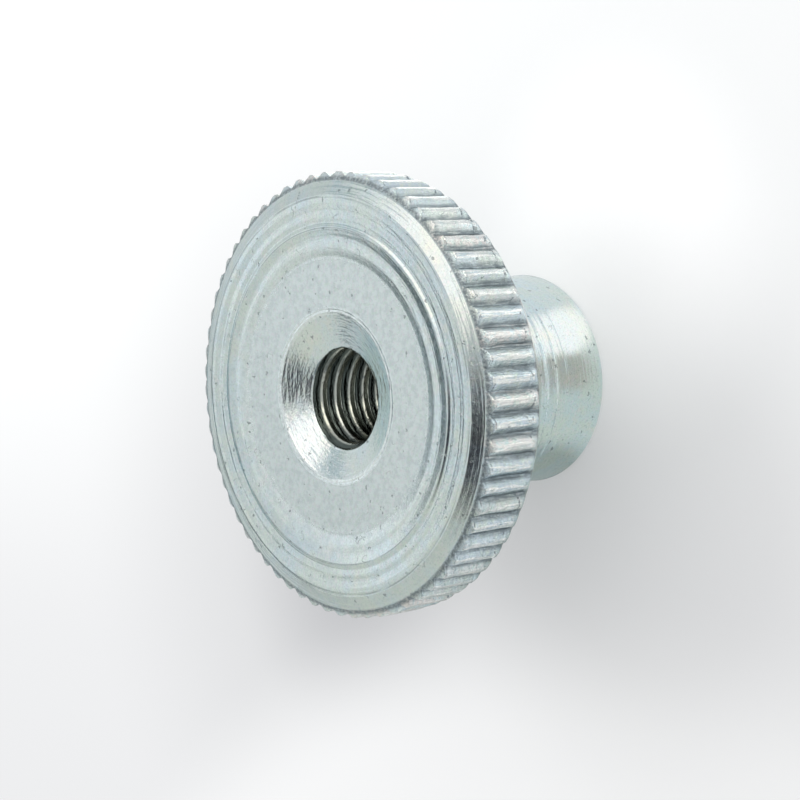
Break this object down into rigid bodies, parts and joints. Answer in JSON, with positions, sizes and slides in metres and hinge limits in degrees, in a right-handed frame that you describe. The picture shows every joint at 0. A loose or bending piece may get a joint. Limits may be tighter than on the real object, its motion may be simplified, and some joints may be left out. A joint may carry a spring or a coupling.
{
  "type": "knurled thumb nut",
  "caption": "High-form knurled thumb nut: a flat knurled disc head on a narrow cylindrical collar, with a threaded through hole countersunk at both ends.",
  "frame": {"origin": "centre of the collar's bearing face, on the thread axis", "axes": "+Z along the thread axis, from the bearing face towards the knurled head; X and Y are equal"},
  "size_m": [0.024, 0.024, 0.015],
  "materials": {
    "zinc_plated_steel": "bright zinc plated with a clear pale blue passivation, turning marks showing through"
  },
  "bodies": {
    "root": {"thumb_nut": "zinc_plated_steel"}
  },
  "joints": []
}
